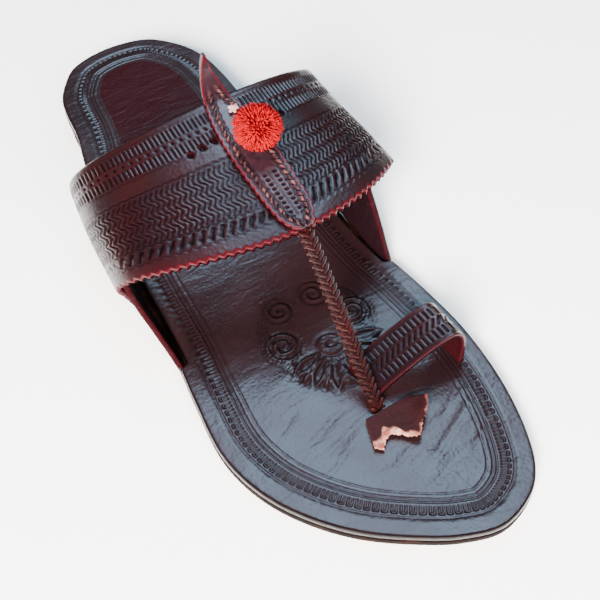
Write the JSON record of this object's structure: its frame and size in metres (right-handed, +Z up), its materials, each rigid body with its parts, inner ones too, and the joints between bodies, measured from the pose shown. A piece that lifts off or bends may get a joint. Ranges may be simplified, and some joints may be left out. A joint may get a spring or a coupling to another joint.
{
  "type": "kolhapuri sandal",
  "caption": "Flat leather toe-loop sandal, right foot: stacked heel, wide tooled instep band, braided thong, curled leaf with a wool pompom.",
  "frame": {"origin": "on the floor, under the middle of the sandal's box", "axes": "+Z up, +Y from toe to heel, +X to the inner, big-toe side"},
  "size_m": [0.1068, 0.272, 0.0761],
  "materials": {
    "sole_leather": "dark burnished edge",
    "insole_leather": "dark oiled, glossy, tooled",
    "strap_leather": "dark maroon, glossy, tooled",
    "leaf_leather": "dark, thong-laced edge",
    "red_wool": "matt wool pile",
    "raw_leather": "raw cut fibre"
  },
  "bodies": {
    "root": {"outsole": "sole_leather", "heel": "sole_leather", "insole": "insole_leather", "ear_outer": "strap_leather", "ear_inner": "strap_leather", "upper": "strap_leather", "leaf": "leaf_leather", "pompom": "red_wool", "lace_knot": "raw_leather", "toe_tab": "raw_leather"}
  },
  "joints": []
}
